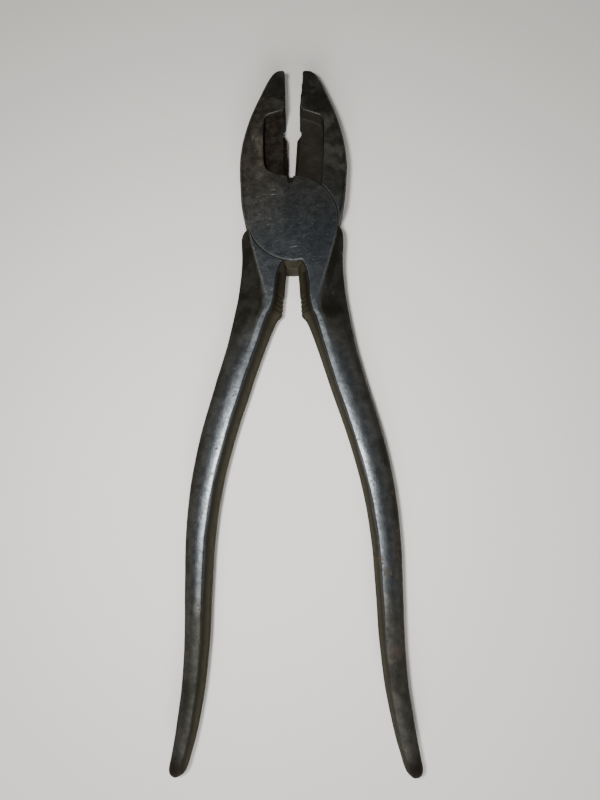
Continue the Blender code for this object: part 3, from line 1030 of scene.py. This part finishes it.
def scratches(g, at, turn_deg, shift, share):
    """Thin straight lines one way across the surface; share sets how many."""
    along = g.drawn_out(at, turn_deg, SCRATCH_LENGTH, SCRATCH_WIDTH, shift)
    lines = g.noise(along, 1.0, 1.0, 0.4)
    return g.between(lines, 0.78 - share, 0.84 - share)


def patina(g, at):
    """Low-contrast dark and grey steel: (colour, mottle, grain)."""
    mottle = g.noise(g.moved(at, (31.0, 7.0, 3.0)), MOTTLE_PER_MM, 6.0, 0.62)
    grain = g.noise(g.moved(at, (7.0, 3.0, 31.0)), GRAIN_PER_MM, 3.0, 0.6)
    colour = g.mix(g.between(mottle, 0.34, 0.66), DARK_STEEL, GREY_STEEL)
    return colour, mottle, grain


def tinted(g, colour, mottle, warm):
    """Paler steel on one jaw, a warmer tint towards both, and darker steel on one shoulder."""
    paler = g.math("MULTIPLY", g.attribute("pale"), g.between(mottle, 0.36, 0.62, 0.25, 0.75))
    colour = g.mix(paler, colour, PALE_STEEL)
    colour = g.mix(warm, colour, WARM_TINT, "MULTIPLY")
    return g.mix(g.math("MULTIPLY", g.attribute("shade"), 0.8), colour, DARK_STEEL)


def filmed(g, at, colour, grain, warm):
    """Film in patches, and a dark olive and brown film along the backs of the handles and the shoulders'
    bevels, which is also painted shade: (colour, film).
    """
    patches = g.noise(at, PATCHES_PER_MM, 4.0, 0.6, 0.4)
    film = g.math("MULTIPLY", g.between(patches, 0.42, 0.70), g.between(warm, 0.0, 1.0, 0.2, 0.5))
    edge_film_and_shade = g.math("MULTIPLY", g.attribute("outer"), g.between(patches, 0.36, 0.62, 0.88, 1.0))
    colour = g.mix(film, colour, BROWN_FILM)
    olive = g.mix(g.between(grain, 0.35, 0.65), OLIVE_FILM_AND_SHADE, BROWN_FILM)
    colour = g.mix(edge_film_and_shade, colour, olive)
    speckle = g.noise(g.moved(at, (41.0, 2.0, 13.0)), SPECKLE_PER_MM, 5.0, 0.65)
    freckled = g.math("MULTIPLY", g.attribute("freckle"), g.between(speckle, 0.53, 0.63, 0.0, 0.8))
    colour = g.mix(freckled, colour, FRECKLE)
    return colour, g.math("MAXIMUM", film, edge_film_and_shade)


def hand_rubbed_and_sheen(g, colour, rub_and_sheen, ragged):
    """Brighter steel with a ragged edge where hands rub the film away, which is also a painted sheen
    along the ridges of the handles.
    """
    rubbed = g.between(g.math("ADD", rub_and_sheen, ragged), 0.95, 1.60)
    rubbed = g.math("MULTIPLY", rubbed, g.between(rub_and_sheen, 0.02, 0.2))
    return g.mix(rubbed, colour, RUBBED_STEEL_AND_SHEEN)


def soiled_and_shaded(g, colour, mottle, wall):
    """Grime and painted shade in the pockets, painted shade in the nick, on the head's steep sides and
    on the handle ends, and the brown inner walls with a painted shadow line at their foot: (colour,
    grime and shade).
    """
    grimy_and_shaded = g.math("MULTIPLY", g.attribute("stain_and_shade"), g.between(mottle, 0.25, 0.60, 0.75, 1.0))
    # Painted shade on the handle ends, in the grime's colour
    grimy_and_shaded = g.math("MAXIMUM", grimy_and_shaded, g.attribute("end"))
    colour = g.mix(grimy_and_shaded, colour, GRIME_AND_SHADE)
    light_part = g.between(mottle, 0.30, 0.60, 0.6, 1.0)
    lighter = g.math("MULTIPLY", g.attribute("wall_light"), light_part)
    return g.mix(wall, colour, g.mix(lighter, WALL_DARK, WALL_BROWN)), grimy_and_shaded


def marked(g, at, colour, grain, covered):
    """Scratches where nothing covers the steel, nicks, bright worn edges and painted glints on edges and
    crests: (colour, marks).
    """
    marks = 0.0
    for turn_deg, shift, share in SCRATCHES:
        marks = g.math("MAXIMUM", marks, scratches(g, at, turn_deg, shift, share))
    marks = g.math("MULTIPLY", marks, g.math("SUBTRACT", 1.0, covered))
    for centre, turn_deg, length, width in NICKS:
        beside = g.drawn_out(at, turn_deg, length, width, centre)
        nick = g.between(g.distance(beside, (0.0, 0.0, 0.0)), 1.0, 0.5)
        marks = g.math("MAXIMUM", marks, g.math("MULTIPLY", nick, 2.0))
    worn_and_glint = g.math("MULTIPLY", g.attribute("wear_and_glint"), g.between(grain, 0.30, 0.60))
    bright = g.math("MAXIMUM", worn_and_glint, g.math("MULTIPLY", marks, 0.3), clamp=True)
    return g.mix(bright, colour, BRIGHT_STEEL), marks


def rusted(g, at, colour, grain, ragged):
    """Ragged spots of rust: (colour, rust)."""
    rusty = 0.0
    for centre, radius in RUST_SPOTS:
        away = g.math("ADD", g.distance(at, centre), g.between(ragged, 0.35, 0.65, -1.0, 1.0))
        rusty = g.math("MAXIMUM", rusty, g.between(away, radius, radius * 0.3))
    rusty = g.math("MULTIPLY", rusty, g.between(grain, 0.32, 0.55, 0.15, 0.75))
    return g.mix(rusty, colour, RUST), rusty


def raise_surface(g, height, depth_mm):
    bump = g.add("ShaderNodeBump")
    bump.inputs["Strength"].default_value = 1.0
    bump.inputs["Distance"].default_value = depth_mm * MM
    g.feed(bump.inputs["Height"], height)
    g.feed(g.shader.inputs["Normal"], bump.outputs[0])


def dim_grazing(shader):
    """Oxide keeps the reflection weak where the surface is seen edge on."""
    shader.inputs["Specular IOR Level"].default_value = 0.15
    shader.inputs["Specular Tint"].default_value = (0.4, 0.4, 0.4, 1.0)


def forged_steel(name):
    """Old forged steel: dark patina, brown film, pits, scratches and bright worn edges, with painted
    glints, sheen and shade.
    """
    g = Graph(name)
    at = g.millimetres()
    rub_and_sheen = g.attribute("rub_and_sheen")
    wall = g.attribute("wall")
    warm = g.attribute("warm")
    ragged = g.noise(g.moved(at, (5.0, 23.0, 11.0)), RAGGED_PER_MM, 6.0, 0.8)
    pits = g.between(g.noise(g.moved(at, (17.0, 3.0, 29.0)), PITS_PER_MM, 3.0, 0.55), 0.60, 0.70)

    colour, mottle, grain = patina(g, at)
    colour = tinted(g, colour, mottle, warm)
    colour, film = filmed(g, at, colour, grain, warm)
    colour = hand_rubbed_and_sheen(g, colour, rub_and_sheen, ragged)
    colour, grimy_and_shaded = soiled_and_shaded(g, colour, mottle, wall)
    colour, marks = marked(g, at, colour, grain, g.math("MAXIMUM", grimy_and_shaded, wall))
    colour = g.mix(g.math("MULTIPLY", pits, g.between(rub_and_sheen, 0.0, 1.0, 0.45, 0.25)), colour, PIT)
    colour, rusty = rusted(g, at, colour, grain, ragged)

    dull = g.math("MAXIMUM", g.math("MAXIMUM", film, grimy_and_shaded), g.math("MAXIMUM", wall, rusty))
    roughness = g.between(grain, 0.3, 0.7, *STEEL_ROUGHNESS)
    roughness = g.math("ADD", roughness, g.math("MULTIPLY", dull, DULL_ROUGHNESS))
    roughness = g.math("ADD", roughness, g.math("MULTIPLY", pits, PIT_ROUGHNESS))
    height = g.math("ADD", mottle, g.math("MULTIPLY", grain, 0.5))
    height = g.math("SUBTRACT", height, g.math("MULTIPLY", pits, 0.4))
    height = g.math("SUBTRACT", height, g.math("MULTIPLY", marks, 0.1))

    raise_surface(g, height, RELIEF_DEPTH_MM)
    g.feed(g.shader.inputs["Base Color"], colour)
    metallic = g.between(dull, 0.0, 1.0, STEEL_METALLIC, DULL_METALLIC)
    g.feed(g.shader.inputs["Metallic"], metallic)
    g.feed(g.shader.inputs["Roughness"], roughness)
    dim_grazing(g.shader)
    g.material.diffuse_color = DARK_STEEL
    return g.material


# ---- scene ----

# Places in metres, and the camera's lens and sensor in millimetres
CAMERA_PLACE = (0.0024, -0.0706, 0.1536)
CAMERA_TILT_DEG = 9.5
CAMERA_ROLL_DEG = 0.45
CAMERA_LENS = 27.045
CAMERA_SENSOR = 36.0
FLOOR_DROP = 0.08 * MM
FLOOR_SIZE = 3.0
FLOOR_COLOUR = (0.84, 0.81, 0.77, 1.0)
FLOOR_ROUGHNESS = 0.9
SKY_COLOUR = (0.93, 0.96, 1.0, 1.0)
SKY_STRENGTH = 0.05
LAMP_COLOUR = (1.0, 0.99, 0.97)

# Lamps: name, place and target in metres, diameter and watts
LAMPS = [
    ("key", (-0.019, -0.068, 0.165), (0.0, -0.05, 0.0), 0.018, 0.36),
    ("low_front", (0.0, -0.85, 0.55), (0.0, -0.04, 0.0), 0.6, 9.0),
]


def add_camera():
    data = bpy.data.cameras.new("camera")
    data.sensor_fit = "AUTO"
    data.sensor_width = CAMERA_SENSOR
    data.lens = CAMERA_LENS
    data.clip_start = 0.005
    camera = bpy.data.objects.new("camera", data)
    camera.location = CAMERA_PLACE
    camera.rotation_euler = (math.radians(CAMERA_TILT_DEG), 0.0, math.radians(CAMERA_ROLL_DEG))
    bpy.context.scene.collection.objects.link(camera)
    bpy.context.scene.camera = camera


def add_floor():
    half = FLOOR_SIZE / 2
    corners = [(-half, -half, 0), (half, -half, 0), (half, half, 0), (-half, half, 0)]
    floor = mesh_object("floor", corners, [(0, 1, 2, 3)])
    floor.location.z = -FLOOR_DROP
    g = Graph("floor_paper")
    g.shader.inputs["Base Color"].default_value = FLOOR_COLOUR
    g.shader.inputs["Roughness"].default_value = FLOOR_ROUGHNESS
    floor.data.materials.append(g.material)


def area_light(name, place, target, size, watts):
    data = bpy.data.lights.new(name, "AREA")
    data.shape = "DISK"
    data.size = size
    data.energy = watts
    data.color = LAMP_COLOUR
    light = bpy.data.objects.new(name, data)
    light.location = place
    aim = Vector(target) - Vector(place)
    light.rotation_euler = aim.to_track_quat("-Z", "Y").to_euler()
    light.visible_camera = False
    bpy.context.scene.collection.objects.link(light)


def add_lights():
    world = bpy.data.worlds.new("studio")
    world.use_nodes = True
    background = world.node_tree.nodes["Background"]
    background.inputs["Color"].default_value = SKY_COLOUR
    background.inputs["Strength"].default_value = SKY_STRENGTH
    bpy.context.scene.world = world
    for lamp in LAMPS:
        area_light(*lamp)


def main():
    steel = forged_steel("forged_steel")
    rivet = forged_steel("rivet_steel")
    forged_piece("front_forging", "front_half", FRONT_HALF, place_front, steel, "front")
    forged_piece("back_forging", "back_half", BACK_HALF, place_back, steel, "back")
    rivet_piece("rivet", "pivot_rivet", rivet, "front")
    add_floor()
    add_lights()
    add_camera()


main()
